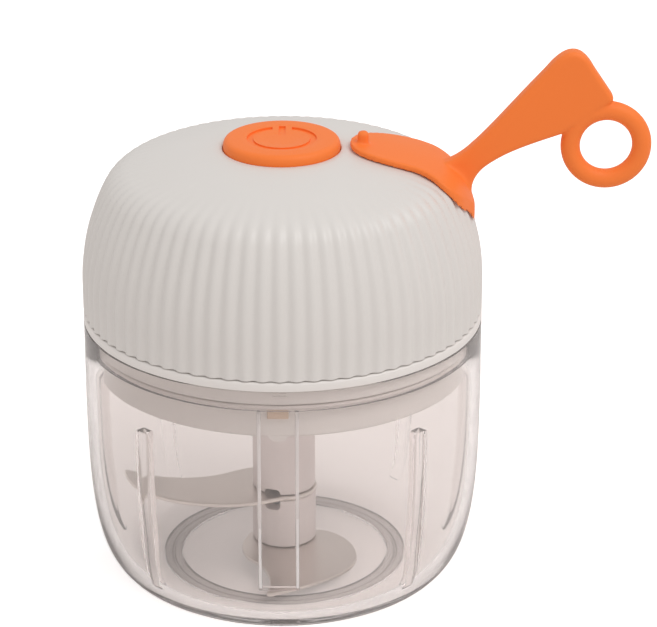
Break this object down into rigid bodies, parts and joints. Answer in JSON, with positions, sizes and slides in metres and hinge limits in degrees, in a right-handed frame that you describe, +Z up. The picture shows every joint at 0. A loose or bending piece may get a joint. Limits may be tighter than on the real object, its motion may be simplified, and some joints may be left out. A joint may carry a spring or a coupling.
{
  "type": "mini food chopper",
  "caption": "Cordless mini food chopper: clear rounded bowl with curved blades on a lift-out hub, under a ribbed dome power head with a press button and a silicone loop strap.",
  "frame": {"origin": "centre of the bowl's flat base, on the surface it stands on", "axes": "+Z up along the blade hub, +X towards the side where the strap leaves the dome, -Y towards the bowl's keyway"},
  "size_m": [0.1283, 0.0912, 0.1254],
  "materials": {
    "clear_plastic": "clear, slightly warm, polished",
    "white_plastic": "satin, fine moulded texture",
    "hub_plastic": "satin",
    "orange_silicone": "soft matte silicone",
    "seal_silicone": "translucent grey silicone",
    "blade_steel": "fine brushed, ground edge",
    "pin_steel": "turned",
    "zinc_steel": "zinc plated",
    "bearing_bronze": "sintered bronze",
    "copper_winding": "enamelled copper",
    "magnet_ferrite": "sintered ferrite",
    "black_plastic": "matte",
    "circuit_board": "solder mask",
    "cell_wrap": "shrink wrap",
    "wire_red": "wire insulation",
    "wire_black": "wire insulation"
  },
  "bodies": {
    "bowl": {"bowl": "clear_plastic", "foot_ring": "seal_silicone", "spindle_pin": "pin_steel"},
    "agitator": {"hub_foot": "hub_plastic", "blade_lower": "blade_steel", "hub_lower": "hub_plastic", "blade_upper": "blade_steel", "hub_upper": "hub_plastic", "hub_bushing": "bearing_bronze"},
    "lid": {"lid_base": "white_plastic", "lid_seal": "seal_silicone", "shaft_seal": "seal_silicone", "dome_shell": "white_plastic", "dome_screw_1": "zinc_steel", "dome_screw_2": "zinc_steel", "dome_screw_3": "zinc_steel", "dome_screw_4": "zinc_steel", "motor_can": "zinc_steel", "motor_bearing": "bearing_bronze", "motor_end_cap": "black_plastic", "magnet_1": "magnet_ferrite", "magnet_2": "magnet_ferrite", "motor_bracket": "hub_plastic", "bracket_screw_1": "zinc_steel", "bracket_screw_2": "zinc_steel", "battery_tray": "hub_plastic", "battery_cell": "cell_wrap", "main_board": "circuit_board", "board_screw_1": "zinc_steel", "board_screw_2": "zinc_steel", "tact_switch": "black_plastic", "charging_board": "circuit_board", "charging_port": "pin_steel", "charging_screw": "zinc_steel", "strap_anchor": "orange_silicone", "battery_wire_red": "wire_red", "battery_wire_black": "wire_black", "charge_wire_red": "wire_red", "charge_wire_black": "wire_black"},
    "drive": {"motor_shaft": "pin_steel", "motor_rotor": "copper_winding", "drive_coupling": "hub_plastic"},
    "button": {"button_cap": "orange_silicone", "button_spring": "pin_steel"},
    "plunger": {"switch_plunger": "hub_plastic"},
    "cover": {"port_cover": "orange_silicone"},
    "strap": {"carry_strap": "orange_silicone"}
  },
  "joints": [
    {"name": "lid_lift", "type": "slide", "parent": "bowl", "child": "lid", "axis": [0, 0, 1], "range_m": [0, 0.07]},
    {"name": "drive_spin", "type": "hinge", "parent": "lid", "child": "drive", "pos_m": [0, 0, 0.07], "axis": [0, 0, 1], "continuous": true},
    {"name": "agitator_spin", "type": "hinge", "parent": "bowl", "child": "agitator", "pos_m": [0, 0, 0.02], "axis": [0, 0, 1], "continuous": true},
    {"name": "button_press", "type": "slide", "parent": "lid", "child": "button", "axis": [0, 0, -1], "range_m": [0, 0.0008], "stiffness_N_per_m": 1200, "springref_m": -0.001, "deforming": ["button_spring"]},
    {"name": "plunger_press", "type": "slide", "parent": "lid", "child": "plunger", "axis": [0, 0, -1], "range_m": [0, 0.0008]},
    {"name": "cover_lift", "type": "hinge", "parent": "lid", "child": "cover", "pos_m": [0.0332, 0, 0.1006], "axis": [0, 1, 0], "range_deg": [0, 70], "stiffness_Nm_per_rad": 0.02},
    {"name": "strap_flex", "type": "hinge", "parent": "lid", "child": "strap", "pos_m": [0.0426, 0, 0.0988], "axis": [0, 1, 0], "range_deg": [-15, 35], "stiffness_Nm_per_rad": 0.08}
  ],
  "couplings": [
    {"joint": "agitator_spin", "follows": "drive_spin", "ratio": 1},
    {"joint": "plunger_press", "follows": "button_press", "ratio": 1}
  ]
}
